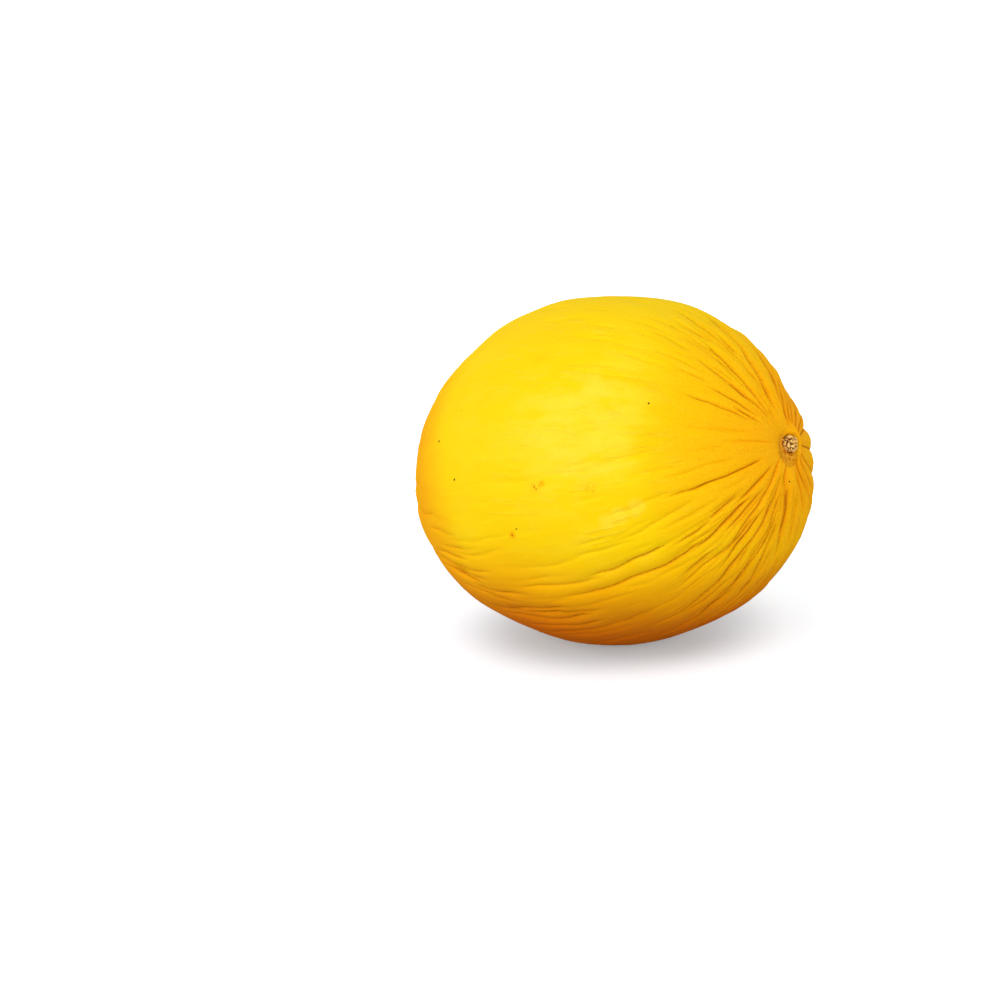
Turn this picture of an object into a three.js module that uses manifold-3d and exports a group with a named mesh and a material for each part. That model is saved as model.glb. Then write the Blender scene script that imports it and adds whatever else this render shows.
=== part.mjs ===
// A ripe canary melon lying on its ground spot, with the dry stub of its stem.
//
// The fruit grew as one piece, so it is one solid: a slightly egg-shaped body with pleats that
// run out from the stem, a dimple at the stem with a small socket in it, a shallow dimple at the
// blossom end, and the small flat spot that it rests on. The stub of the stem stands in the
// socket as a solid of its own.
//
// Millimetres, +Z up. The fruit's own axis runs along +X to the stem; in the finished group it is
// pitched so that the stem end is a little raised, and the origin is under the middle of the
// whole thing, on the plane that it rests on.

import * as THREE from 'three';
import { mergeVertices } from 'three/addons/utils/BufferGeometryUtils.js';
import Module from 'manifold-3d';

const { degToRad, radToDeg, lerp, smoothstep } = THREE.MathUtils;

// ---- driving dimensions -------------------------------------------------------------------

const HALF_LENGTH = 93.6; // centre of the body to either end of its axis, dimples left out
const RADIUS = 81; // half the body's thickness at its middle
const FULLNESS = 0.022; // how much fuller the stem half is than the blossom half
const STEM_DROP = 6.5; // how far the stem sits below the body's axis
const SHOULDER = { height: 1.5, sharpness: 10 }; // the raised ring of rind around the stem dimple
const PITCH = degToRad(15.5); // the stem end points up by this much
const GROUND_SPOT_DEPTH = 2.5; // how much of the round belly the flat spot takes away

// Broad swells and hollows that keep the body from being a plain egg. Angles in degrees: from the
// stem, and around the fruit from its +Y side over the top.
const SWELLS = [
  { fromStem: 74, around: 78, spread: 16, height: -2 },
  { fromStem: 110, around: 98, spread: 20, height: 0.4 },
  { fromStem: 25, around: 10, spread: 16, height: -1.2 },
  { fromStem: 50, around: 276, spread: 22, height: 0.9 },
  { fromStem: 122, around: 238, spread: 16, height: -2.5 },
  { fromStem: 22, around: 351, spread: 12, height: 2 },
];

const STEM_DIMPLE = { depth: 2.2, spread: 9 };
const BLOSSOM_DIMPLE = { depth: 1, spread: 8 };
const SOCKET = { radius: 5, depth: 1.5, segments: 32 };
const STUB = {
  radius: 4.2,
  proud: 3, // how far it stands out of the socket
  gap: 0.3, // clearance to the socket's floor
  segments: 28,
  roughness: 0.35, // how far the lumps on its side and top go in
  topFrom: 0.85, // the share of its height above which a point belongs to the broken top
  lumps: [{ waves: 5, share: 0.6, turn: 0.7 }, { waves: 8, share: 0.4, turn: 2 }],
};
// The stub's outline as shares of its radius and height, from the middle of its foot.
const STUB_OUTLINE = [
  [0, 0], [0.82, 0], [0.94, 0.08], [1, 0.3], [0.95, 0.55], [1, 0.78], [0.86, 0.94], [0.5, 1], [0, 0.9],
];

const PLEATS = 36; // ridges around the stem, with a furrow between each two
const RINGS = 34; // rows of faces from the stem to the blossom end
const RING_CROWDING = 1.25; // above 1, the rows lie closer together near the stem
const FURROW = {
  depth: 1.8, // where a furrow is deepest
  topShare: 0.55, // the share of that depth on top of the fruit, where the pleats are softer
  start: degToRad(4), // angle from the stem where the furrows begin
  full: degToRad(22), // angle where they are fully deep
  shortReach: degToRad(62), // where they have died out, on the top
  longReach: degToRad(115), // and on the underside
};
// How the pleats stray from even spacing: waves around the fruit.
const STRAYING = [
  { waves: 5, reach: degToRad(1.4), turn: 0 },
  { waves: 11, reach: degToRad(0.84), turn: 1 },
];

const WELD_DISTANCE = 1e-4; // vertices closer than this are one
const CLEARANCE = 10; // how far a cutting tool reaches past the surface that it enters through

// ---- materials ----------------------------------------------------------------------------

const rindMaterial = new THREE.MeshStandardMaterial({ color: 0xf6c60a, roughness: 0.42, metalness: 0 });
const corkMaterial = new THREE.MeshStandardMaterial({ color: 0xb98a52, roughness: 0.85, metalness: 0 });

// ---- solids -------------------------------------------------------------------------------

const wasm = await Module();
wasm.setup();

/** Turns a closed three.js geometry into a solid that can be cut. */
function toSolid(geometry) {
  const bare = geometry.index ? geometry.toNonIndexed() : geometry.clone();
  bare.deleteAttribute('normal');
  bare.deleteAttribute('uv');
  const merged = mergeVertices(bare, WELD_DISTANCE);
  const mesh = new wasm.Mesh({
    numProp: 3,
    vertProperties: new Float32Array(merged.attributes.position.array),
    triVerts: new Uint32Array(merged.index.array),
  });
  return new wasm.Manifold(mesh);
}

/** Turns a solid back into a three.js geometry. */
function toGeometry(solid) {
  const mesh = solid.getMesh();
  const geometry = new THREE.BufferGeometry();
  geometry.setAttribute('position', new THREE.BufferAttribute(new Float32Array(mesh.vertProperties), 3));
  geometry.setIndex(new THREE.BufferAttribute(new Uint32Array(mesh.triVerts), 1));
  geometry.computeVertexNormals();
  return geometry;
}

/** A dimple's depth at a distance from the fruit's axis. */
function dimpleDepth(dimple, distance) {
  return dimple.depth * Math.exp(-((distance / dimple.spread) ** 2));
}

/** How deep the furrows are at an angle from the stem, for a place around the fruit. */
function furrowDepth(fromStem, around) {
  const underside = (1 - Math.sin(around)) / 2;
  const reach = lerp(FURROW.shortReach, FURROW.longReach, underside);
  const rise = smoothstep(fromStem, FURROW.start, FURROW.full);
  const fall = 1 - smoothstep(fromStem, FURROW.full, reach);
  const strength = lerp(FURROW.topShare, 1, underside);
  return FURROW.depth * strength * rise * fall;
}

/** The way from the middle of the body to a place on its skin, on a ball. */
function direction(fromStem, around) {
  return new THREE.Vector3(
    Math.cos(fromStem),
    Math.sin(fromStem) * Math.cos(around),
    Math.sin(fromStem) * Math.sin(around),
  );
}

/** How far the swells lift the skin at a place. */
function swellHeight(way) {
  let height = 0;
  for (const swell of SWELLS) {
    const middle = direction(degToRad(swell.fromStem), degToRad(swell.around));
    const away = radToDeg(way.angleTo(middle));
    height += swell.height * Math.exp(-((away / swell.spread) ** 2));
  }
  return height;
}

/** The place around the fruit of one column of vertices: even ones are furrows, odd ones ridges. */
function columnAngle(column) {
  const even = (column / PLEATS) * Math.PI;
  let around = even;
  for (const { waves, reach, turn } of STRAYING) around += reach * Math.sin(waves * even + turn);
  return around;
}

/** A point of the fruit's skin, in its own frame. */
function skinPoint(fromStem, around, furrow) {
  const way = direction(fromStem, around);
  const stemward = Math.max(way.x, 0);
  const radius = RADIUS * Math.sin(fromStem) * (1 + FULLNESS * way.x);
  const dimple = way.x > 0 ? dimpleDepth(STEM_DIMPLE, radius) : -dimpleDepth(BLOSSOM_DIMPLE, radius);
  const shoulder = SHOULDER.height * stemward ** SHOULDER.sharpness;
  const point = new THREE.Vector3(
    HALF_LENGTH * way.x + shoulder - dimple,
    radius * Math.cos(around),
    radius * Math.sin(around) - STEM_DROP * stemward ** 2,
  );
  const outward = way.clone().divide(new THREE.Vector3(HALF_LENGTH, RADIUS, RADIUS)).normalize();
  return point.addScaledVector(outward, swellHeight(way) - furrow);
}

/** The angle from the stem of one row of vertices. */
function ringAngle(ring) {
  return Math.PI * (ring / RINGS) ** RING_CROWDING;
}

/** The fruit's whole skin as one closed surface, before the socket and the ground spot. */
function skinGeometry() {
  const columns = 2 * PLEATS;
  const points = [skinPoint(0, 0, 0), skinPoint(Math.PI, 0, 0)];
  for (let ring = 1; ring < RINGS; ring += 1) {
    for (let column = 0; column < columns; column += 1) {
      const fromStem = ringAngle(ring);
      const around = columnAngle(column);
      const furrow = column % 2 === 0 ? furrowDepth(fromStem, around) : 0;
      points.push(skinPoint(fromStem, around, furrow));
    }
  }
  const at = (ring, column) => 2 + (ring - 1) * columns + (column % columns);
  const faces = [];
  for (let column = 0; column < columns; column += 1) {
    faces.push(0, at(1, column), at(1, column + 1));
    faces.push(1, at(RINGS - 1, column + 1), at(RINGS - 1, column));
    for (let ring = 1; ring < RINGS - 1; ring += 1) {
      faces.push(at(ring, column), at(ring + 1, column), at(ring + 1, column + 1));
      faces.push(at(ring, column), at(ring + 1, column + 1), at(ring, column + 1));
    }
  }
  const geometry = new THREE.BufferGeometry().setFromPoints(points);
  geometry.setIndex(faces);
  return geometry;
}

/** The bottom of the stem dimple, which the socket is sunk into. */
function dimpleFloor() {
  return skinPoint(0, 0, 0);
}

/** The round tool that sinks the socket, standing along the fruit's axis. */
function socketTool() {
  const { radius, depth, segments } = SOCKET;
  const tool = new THREE.CylinderGeometry(radius, radius, depth + CLEARANCE, segments);
  const floor = dimpleFloor();
  tool.rotateZ(-Math.PI / 2);
  tool.translate(floor.x + (CLEARANCE - depth) / 2, 0, floor.z);
  return tool;
}

/** A block that takes away everything below a height. */
function groundTool(height) {
  const side = 4 * HALF_LENGTH;
  const tool = new THREE.BoxGeometry(side, side, side);
  tool.translate(0, 0, height - side / 2);
  return tool;
}

/** The fruit, pitched and cut flat where it rests, with the flat spot at z = 0. */
function fruitGeometry() {
  const withSocket = toSolid(skinGeometry()).subtract(toSolid(socketTool()));
  const pitched = toGeometry(withSocket).rotateY(-PITCH);
  pitched.computeBoundingBox();
  const spot = pitched.boundingBox.min.z + GROUND_SPOT_DEPTH;
  const resting = toGeometry(toSolid(pitched).subtract(toSolid(groundTool(spot))));
  return { geometry: resting.translate(0, 0, -spot), lift: -spot };
}

/** How far a lump of the stub stands out at an angle around it, from -1 to 1. */
function lumpHeight(around) {
  let height = 0;
  for (const { waves, share, turn } of STUB.lumps) height += share * Math.sin(waves * around + turn);
  return height;
}

/** Moves a point of the smooth stub to where its lumpy side or broken top runs. */
function roughen(point, height) {
  const outward = Math.hypot(point.x, point.z) / STUB.radius;
  const lump = lumpHeight(Math.atan2(point.z, point.x));
  const shrink = 1 - (STUB.roughness * outward * (1 - lump)) / (4 * STUB.radius);
  const dip = point.y > STUB.topFrom * height ? STUB.roughness * outward * (1 + lump) : 0;
  return point.set(point.x * shrink, point.y - dip, point.z * shrink);
}

/** The dry stub: a short corky plug with a lumpy side and a broken top, standing along +Y. */
function stubGeometry() {
  const height = SOCKET.depth - STUB.gap + STUB.proud;
  const outline = STUB_OUTLINE.map(([across, up]) => new THREE.Vector2(across * STUB.radius, up * height));
  const geometry = new THREE.LatheGeometry(outline, STUB.segments);
  const place = geometry.attributes.position;
  for (let i = 0; i < place.count; i += 1) {
    const point = roughen(new THREE.Vector3().fromBufferAttribute(place, i), height);
    place.setXYZ(i, point.x, point.y, point.z);
  }
  geometry.computeVertexNormals();
  return geometry;
}

// ---- assembly -----------------------------------------------------------------------------

const fruit = fruitGeometry();

const melon = new THREE.Mesh(fruit.geometry, rindMaterial);
melon.name = 'melon';

const stub = new THREE.Mesh(stubGeometry(), corkMaterial);
stub.name = 'stem_stub';
const floor = dimpleFloor();
stub.position.set(floor.x - SOCKET.depth + STUB.gap, 0, floor.z);
stub.rotation.z = -Math.PI / 2;

const stemFrame = new THREE.Group();
stemFrame.rotation.y = -PITCH;
stemFrame.position.z = fruit.lift;
stemFrame.add(stub);

const part = new THREE.Group();
part.add(melon, stemFrame);

// The origin goes under the middle of the whole thing.
part.updateMatrixWorld(true);
const middle = new THREE.Box3().setFromObject(part, true).getCenter(new THREE.Vector3());
part.position.set(-middle.x, -middle.y, 0);

export default part;
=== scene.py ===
"""A ripe canary melon lying on its ground spot, on a pale floor in soft studio light.

Metres, +Z up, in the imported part's own frame: the fruit's stem end points along +X and a little
up. Places on the skin are given by two angles in degrees: from the stem (0) to the blossom end
(180), and around the fruit from its +Y side (0) over the top (90). A span is a pair of numbers:
where something begins and where it is full.
"""

import functools
import logging
import math
from collections.abc import Callable
from dataclasses import dataclass, field, fields, replace
from enum import Enum

import bpy
import numpy as np
from mathutils import Color, Matrix, Vector


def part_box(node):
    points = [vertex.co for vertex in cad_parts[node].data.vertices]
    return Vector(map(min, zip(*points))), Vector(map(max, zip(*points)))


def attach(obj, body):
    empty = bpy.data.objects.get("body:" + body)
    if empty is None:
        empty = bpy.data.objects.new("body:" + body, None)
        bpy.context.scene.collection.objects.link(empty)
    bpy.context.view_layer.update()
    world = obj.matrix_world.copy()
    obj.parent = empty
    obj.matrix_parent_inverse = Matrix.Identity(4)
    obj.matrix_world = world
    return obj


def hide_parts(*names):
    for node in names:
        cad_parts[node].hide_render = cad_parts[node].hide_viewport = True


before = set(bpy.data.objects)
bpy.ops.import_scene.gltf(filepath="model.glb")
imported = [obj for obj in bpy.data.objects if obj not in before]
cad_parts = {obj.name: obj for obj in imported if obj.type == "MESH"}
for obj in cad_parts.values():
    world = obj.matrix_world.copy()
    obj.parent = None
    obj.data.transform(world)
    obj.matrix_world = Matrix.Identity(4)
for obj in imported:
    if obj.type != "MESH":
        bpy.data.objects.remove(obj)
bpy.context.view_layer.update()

LOG = logging.getLogger("melon")
MM = 0.001
BODY = "root"

Span = tuple[float, float]
Colour = tuple[float, float, float, float]
Inputs = dict[str | int, object]
Socket = bpy.types.NodeSocket
Node = bpy.types.Node
Tree = bpy.types.NodeTree
Material = bpy.types.Material
Thing = bpy.types.Object


# ---- node trees ----


class Mark(Enum):
    """Names of the numbers that a mesh's vertices carry for its finish."""

    FROM_STEM = "from_stem"
    AROUND = "around"
    LANE = "lane"
    RUN = "run"
    FAN = "fan"
    FURROW = "furrow"
    # painted shade of the crease lines, for the rind's colour
    CREASE = "crease"
    SOCKET = "socket"
    TONE = "tone"
    # painted shade of the stub's crevices, pits and foot, for the cork's colour
    CREVICE_SHADE = "crevice"


def arithmetic(operation: str) -> Callable[["Value", "Operand"], "Value"]:
    """A method of Value that adds a node for an operation with another value."""
    return lambda one, other: one.graph.math(operation, one, other)


@dataclass(frozen=True)
class Value:
    """A number, vector or colour inside a node tree. Arithmetic on it adds nodes."""

    graph: "Graph"
    socket: Socket

    __add__ = __radd__ = arithmetic("ADD")
    __sub__ = arithmetic("SUBTRACT")
    __mul__ = __rmul__ = arithmetic("MULTIPLY")
    __truediv__ = arithmetic("DIVIDE")
    __pow__ = arithmetic("POWER")

    def __rsub__(self, other: "Operand") -> "Value":
        """Difference, with a plain number first."""
        return self.graph.math("SUBTRACT", other, self)

    def __neg__(self) -> "Value":
        """The same number with its sign turned."""
        return self.graph.math("MULTIPLY", self, -1.0)


Operand = Value | float | int


@dataclass(frozen=True)
class Graph:
    """A node tree under construction. Its methods add nodes and give back their values."""

    tree: Tree

    def put(self, socket: Socket, value: object) -> None:
        """Feeds a socket.

        Args:
            socket: The input.
            value: A value or another socket to link, or a constant.
        """
        if isinstance(value, Value):
            value = value.socket
        if isinstance(value, Socket):
            self.tree.links.new(value, socket)
        else:
            socket.default_value = value

    def node(self, kind: str, inputs: Inputs | None = None, **settings: object) -> Node:
        """Adds one node.

        Args:
            kind: The node's type name.
            inputs: What feeds it, by socket name or number.
            **settings: The node's own properties.

        Returns:
            The node.
        """
        node = self.tree.nodes.new(kind)
        for name, setting in settings.items():
            setattr(node, name, setting)
        self.feed(node, inputs or {})
        return node

    def feed(self, node: Node, inputs: Inputs) -> None:
        """Feeds a node's sockets, by their names or numbers."""
        for key, value in inputs.items():
            self.put(node.inputs[key], value)

    def value(self, kind: str, inputs: Inputs | None = None, output: str | int = 0,
              **settings: object) -> Value:
        """Adds one node and gives one of its outputs."""
        return Value(self, self.node(kind, inputs, **settings).outputs[output])

    def given(self) -> dict[str, Value]:
        """The tree's own inputs, by name."""
        outputs = self.node("NodeGroupInput").outputs
        return {name: Value(self, socket) for name, socket in outputs.items()}

    def math(self, operation: str, *operands: Operand) -> Value:
        """Arithmetic on numbers."""
        return self.value("ShaderNodeMath", dict(enumerate(operands)), operation=operation)

    def sin(self, degrees: Operand) -> Value:
        """Sine of an angle in degrees."""
        return self.math("SINE", self.math("RADIANS", degrees))

    def cos(self, degrees: Operand) -> Value:
        """Cosine of an angle in degrees."""
        return self.math("COSINE", self.math("RADIANS", degrees))

    def most(self, *values: Operand) -> Value:
        """The largest of some numbers."""
        return functools.reduce(lambda one, other: self.math("MAXIMUM", one, other), values)

    def least(self, *values: Operand) -> Value:
        """The smallest of some numbers."""
        return functools.reduce(lambda one, other: self.math("MINIMUM", one, other), values)

    def hypotenuse(self, x: Value, y: Value) -> Value:
        """The length of two sides at a right angle."""
        return self.math("SQRT", x * x + y * y)

    def bell(self, distance: Operand, spread: Operand) -> Value:
        """A smooth bump: 1 at no distance, falling away over the spread."""
        ratio = self.math("DIVIDE", distance, spread)
        return self.math("EXPONENT", -(ratio * ratio))

    def smooth(self, value: Operand, low: Operand, high: Operand) -> Value:
        """0 below low, 1 above high, and a smooth step between them."""
        ends = {"Value": value, "From Min": low, "From Max": high}
        return self.value("ShaderNodeMapRange", ends, interpolation_type="SMOOTHSTEP")

    def fade(self, value: Operand, low: Operand, high: Operand) -> Value:
        """1 below low, 0 above high, and a smooth step between them."""
        return 1.0 - self.smooth(value, low, high)

    def band(self, value: Operand, rise: Span, fall: Span) -> Value:
        """1 between two spans and 0 outside them."""
        return self.smooth(value, *rise) * self.fade(value, *fall)

    def spread(self, value: Operand, span: Span, ends: Span) -> Value:
        """Maps a span to two ends in a straight line, held at both."""
        knobs = dict(zip(("From Min", "From Max", "To Min", "To Max"), span + ends))
        return self.value("ShaderNodeMapRange", {"Value": value, **knobs})

    def vector(self, x: Operand, y: Operand, z: Operand) -> Value:
        """A vector from three numbers."""
        return self.value("ShaderNodeCombineXYZ", {0: x, 1: y, 2: z})

    def split(self, vector: Value) -> list[Value]:
        """The three numbers of a vector."""
        outputs = self.node("ShaderNodeSeparateXYZ", {0: vector}).outputs
        return [Value(self, socket) for socket in outputs]

    def vectors(self, operation: str, *operands: object, output: str = "Vector") -> Value:
        """Arithmetic on vectors."""
        inputs: Inputs = dict(enumerate(operands))
        return self.value("ShaderNodeVectorMath", inputs, output, operation=operation)

    def scale(self, vector: Value, factor: Operand) -> Value:
        """A vector made longer or shorter."""
        return self.value("ShaderNodeVectorMath", {0: vector, "Scale": factor}, operation="SCALE")

    def reach(self, place: Value, spot: Vector) -> Value:
        """How far a place is from a fixed spot, in millimetres."""
        return self.vectors("DISTANCE", place, tuple(spot), output="Value") / MM

    def ragged(self, place: Value, spot: Vector, shake: float, *grain: float) -> Value:
        """The reach in millimetres, shaken by noise of a given scale, detail and roughness."""
        return self.reach(place, spot) + (self.noise(place, *grain) - 0.5) * shake

    def noise(self, at: Value, scale: float, detail: float = 2.0, roughness: float = 0.5) -> Value:
        """Cloudy noise between 0 and 1, at a vector."""
        knobs = {"Vector": at, "Scale": scale, "Detail": detail, "Roughness": roughness}
        return self.value("ShaderNodeTexNoise", knobs, "Fac")

    def wave(self, along: Operand) -> Value:
        """Noise between 0 and 1 along one number."""
        knobs = {"W": along, "Scale": 1.0, "Detail": 1.0}
        return self.value("ShaderNodeTexNoise", knobs, "Fac", noise_dimensions="1D")

    def cells(self, at: Value, scale: Operand, feature: str = "F1",
              output: str = "Distance") -> Value:
        """Cell noise at a vector."""
        knobs = {"Vector": at, "Scale": scale}
        return self.value("ShaderNodeTexVoronoi", knobs, output, feature=feature)

    def blend(self, factor: Operand, first: object, second: object) -> Value:
        """Mixes two colours."""
        inputs = {"Factor": factor, 6: first, 7: second}
        return self.value("ShaderNodeMix", inputs, 2, data_type="RGBA")

    def layers(self, base: object, *layers: tuple[Operand, object]) -> Value:
        """Lays colours over a base, each through its own mask, the last one on top."""
        return functools.reduce(lambda under, top: self.blend(top[0], under, top[1]), layers, base)

    def bump(self, relief: Value) -> Socket:
        """A shader's normal over a fine relief, whose height is in metres."""
        knobs = {"Strength": 1.0, "Distance": 1.0, "Height": relief}
        return self.node("ShaderNodeBump", knobs).outputs["Normal"]

    def attribute(self, name: str) -> Value:
        """Reads a number from every vertex, in a geometry tree."""
        knobs = {"Name": name}
        return self.value("GeometryNodeInputNamedAttribute", knobs, "Attribute", data_type="FLOAT")

    def read(self, mark: Mark) -> Value:
        """Reads a marked number from every vertex, in a geometry tree."""
        return self.attribute(mark.value)

    def store(self, geometry: object, mark: Mark, value: Value, kind: str = "FLOAT") -> Socket:
        """Writes a number, or another kind of value, on every vertex."""
        inputs = {"Geometry": geometry, "Name": mark.value, "Value": value}
        return self.node("GeometryNodeStoreNamedAttribute", inputs, data_type=kind).outputs[0]

    def carried(self, mark: Mark, output: str = "Fac") -> Value:
        """Reads what the mesh carries, in a shader."""
        return self.value("ShaderNodeAttribute", output=output, attribute_name=mark.value)

    def along_lanes(self, across: float, along: float, detail: float = 3.0,
                    roughness: float = 0.6) -> Value:
        """Noise in a shader that stretches along the lanes, finer with larger numbers."""
        fan = self.vectors("MULTIPLY", self.carried(Mark.FAN, "Vector"), (across, across, along))
        return self.noise(fan, 1.0, detail, roughness)

    def finish_shape(self, geometry: Socket, place: Value, finish: Material, output: str) -> Tree:
        """Ends a geometry tree: moves the vertices, smooths the shading and sets the material.

        Args:
            geometry: The mesh with its numbers stored.
            place: Where each vertex goes, in millimetres.
            finish: The material.
            output: The name of the tree's output.

        Returns:
            The tree.
        """
        steps = {"SetPosition": {"Position": self.scale(place, MM)}, "SetShadeSmooth": {},
                 "RealizeInstances": {}, "SetMaterial": {"Material": finish}}
        for kind, inputs in steps.items():
            geometry = self.node("GeometryNode" + kind, {0: geometry, **inputs}).outputs[0]
        self.put(self.node("NodeGroupOutput").inputs[output], geometry)
        self.tree.is_modifier = True
        return self.tree


def new_tree(name: str, kind: str, takes: dict[str, str], gives: dict[str, str]) -> Graph:
    """Starts a node tree with named inputs and outputs.

    Args:
        name: The tree's name.
        kind: Geometry or Shader.
        takes: The kind of each input, by name.
        gives: The kind of each output, by name.

    Returns:
        The tree's graph.
    """
    tree = bpy.data.node_groups.new(name, kind + "NodeTree")
    for way, sockets in (("INPUT", takes), ("OUTPUT", gives)):
        for label, sort in sockets.items():
            tree.interface.new_socket(label, in_out=way, socket_type="NodeSocket" + sort)
    return Graph(tree)


def run_tree(thing: Thing, tree: Tree, sizes: dict[str, object]) -> Thing:
    """Runs a geometry node tree on an object and keeps the result as its plain mesh.

    Args:
        thing: The object that the tree starts from.
        tree: The tree.
        sizes: Values for the tree's inputs, by name.

    Returns:
        The same object, with the finished mesh and no modifier.
    """
    modifier = thing.modifiers.new("shape", "NODES")
    modifier.node_group = tree
    for item in tree.interface.items_tree:
        if item.item_type == "SOCKET" and item.in_out == "INPUT" and item.name in sizes:
            modifier[item.identifier] = sizes[item.name]
    depsgraph = bpy.context.evaluated_depsgraph_get()
    mesh = bpy.data.meshes.new_from_object(thing.evaluated_get(depsgraph))
    thing.modifiers.clear()
    thing.data = mesh
    mesh.name = thing.name
    return thing


def add_thing(name: str, data: bpy.types.ID) -> Thing:
    """Adds an object that shows a mesh, lamp or camera.

    Args:
        name: Its name.
        data: What it shows.

    Returns:
        The object, linked into the scene.
    """
    thing = bpy.data.objects.new(name, data)
    bpy.context.scene.collection.objects.link(thing)
    return thing


def read_points(thing: Thing) -> np.ndarray:
    """The places of a mesh's vertices, one row each."""
    return np.array([vertex.co for vertex in thing.data.vertices])


def write_points(thing: Thing, points: np.ndarray) -> None:
    """Moves the mesh's vertices."""
    thing.data.vertices.foreach_set("co", points.astype(np.float32).ravel())
    thing.data.update()


def read_numbers(thing: Thing, mark: Mark) -> np.ndarray:
    """A number that every vertex carries."""
    return np.array([item.value for item in thing.data.attributes[mark.value].data], np.float32)


def linear(red: float, green: float, blue: float) -> Colour:
    """A screen colour from 0 to 255 as a linear one for shaders."""
    screen = Color((red / 255, green / 255, blue / 255))
    return (*screen.from_srgb_to_scene_linear(), 1.0)


# ---- furrows ----


@dataclass(frozen=True)
class Furrow:
    """One crease between two pleats of the rind.

    Lanes fan out from just beside the stem, and a furrow keeps to its lane but for its drift.
    Lane and drift are degrees around, start and end are degrees along, the rest millimetres.
    """

    lane: float
    start: float
    end: float
    depth: float
    drift: float = 0.0
    width: float = 1.0


FRONT_FURROWS = tuple(Furrow(*sizes) for sizes in (
    # over the top: lane, start, end, depth, drift and width
    (47, 8, 30, 1.2, -9), (58.5, 13, 32, 1.3, -4), (78, 11, 38, 2.5, -10, 1.2),
    (70, 32, 56, 1.3, -4, 1.3), (76, 42, 60, 0.8), (78, 10, 29, 1.5, 7, 0.9),
    (84.5, 27, 56, 1.3, -2), (80.4, 30, 38, 1, 0, 0.8), (91, 36, 48, 1, 2), (93, 11, 19, 0.8),
    (102, 10, 41, 1.5, -8), (95, 7, 12, 1), (104, 17, 36, 0.6, -4), (98, 32, 42, 0.8, 0, 0.8),
    (107, 8, 20, 1, 6), (113, 17, 38, 1.1, -2), (112.2, 18, 25, 1, 0, 0.6), (107.5, 38, 52, 0.7),
    (111, 58, 70, 0.4, 0.5), (118, 31, 50, 0.6, -1), (124.5, 13, 31, 1.1, 2),
    (133, 12, 21, 1.2, -1.5, 0.8), (137.5, 15, 40, 0.9, -2), (135, 42, 68, 0.5, -0.5),
    (108.4, 68, 86, 0.35, 1.6), (119, 60, 74, 0.3, 0.9), (131, 48, 60, 0.3),
    # towards the front
    (153, 14, 42, 0.5, 3), (164, 5, 26, 0.5, -1, 0.8), (167, 24, 38, 0.5, 2),
    (166, 43, 64, 0.5, 4.2), (175, 38, 56, 0.4), (177, 22, 46, 0.55, 3), (188.5, 12, 40, 1.1, -1),
    (187.5, 31, 46, 0.9), (185.5, 43, 63, 0.7, 2.3, 1.6), (193, 38, 64, 0.7, 6.1),
    (199, 58, 98, 0.4, 2.8), (204.5, 25, 38, 1, 1), (208, 10, 28, 1.2, 1), (208.5, 37, 49, 1),
    (206.5, 50, 78, 1.2, 1.7), (209.3, 72, 100, 0.8, -0.6), (194.9, 96, 120, 0.5, 6.5),
    (189.4, 92, 118, 0.35, 6.1),
    # under the front
    (212, 23, 48, 1.6, 5, 1.1), (215, 42, 92, 1.5, -1, 1.4), (217.5, 18, 37, 1.2, 1),
    (221.5, 18, 40, 0.6, -1), (222, 41, 56, 0.9, 1), (222, 6, 44, 1.3, 6, 1.2),
    (226.5, 37, 60, 0.9), (230, 23, 47, 1.4, 2), (238.5, 10, 22, 1.1), (235.5, 19, 34, 1.4, 3),
    (236.5, 32, 60, 1.5, 4), (243, 17, 31, 1, 5), (246.5, 27, 72, 1.7, 2.9, 1.2),
    (252.5, 26, 54, 1.5, 6), (259, 33, 46, 0.8), (253.5, 7, 34, 2.3, 12, 1.6),
    (261, 14, 28, 1.2, 3, 0.7), (263, 25, 40, 1.1, 3), (239.5, 52, 74, 0.8, 1, 0.7),
    (242.5, 43, 66, 0.8, 0, 0.7), (250, 50, 78, 1, 1, 0.8), (256.5, 46, 72, 1, 0.5, 0.8),
    (260.8, 50, 80, 1, 0, 0.7), (265, 44, 74, 1.1, -0.3), (268.8, 38, 66, 1, 1, 0.7),
    (277.5, 38, 66, 0.9, 0, 0.7), (272, 46, 84, 1.1, -0.8), (274, 17, 34, 0.9, 2),
    (282, 27, 60, 0.8, 2), (287.5, 5, 30, 1.7, 3, 1.3), (297, 4, 26, 1.7, 6, 1.5),
    (303, 24, 56, 1.3, 0, 1.3), (224.6, 84, 112, 2, 1.4, 1.2), (218.2, 88, 118, 1.8, 6.2, 1.1),
    (232, 70, 106, 1.3, 2.9, 1.2), (221.5, 80, 106, 1.3, 1, 0.7), (228.5, 82, 108, 1, 1, 0.8),
    (243.9, 76, 116, 1, 3.4, 1.2), (254.7, 78, 112, 1, 0.2, 1.2),
    # low towards the blossom end
    (192, 114, 130, 0.7, 1, 0.6), (197.5, 110, 125, 0.7, 1, 0.7), (201.5, 113, 130, 1, 1, 0.7),
    (205, 105, 123, 0.9, 1, 0.8), (209, 108, 126, 1.2, 0, 0.8), (212.5, 98, 120, 1, 1, 0.9),
    (216.5, 104, 126, 1.2, 0, 0.9), (207.5, 116, 134, 1.5, 0, 0.8), (211, 112, 132, 1.6, 0, 0.8),
))

# lane, depth and width of the main furrows up the back
BACK_MAINS = (
    (312.5, 1.5, 1.6), (326.5, 3.0, 2.2), (342, 3.2, 2.2), (358, 3.4, 2.2), (367, 1.2, 1.3),
    (376, 1.2, 1.3), (385, 2.2, 1.9), (394, 1.2, 1.3), (403, 1.7, 1.6), (412, 1.6, 1.4),
)


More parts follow.
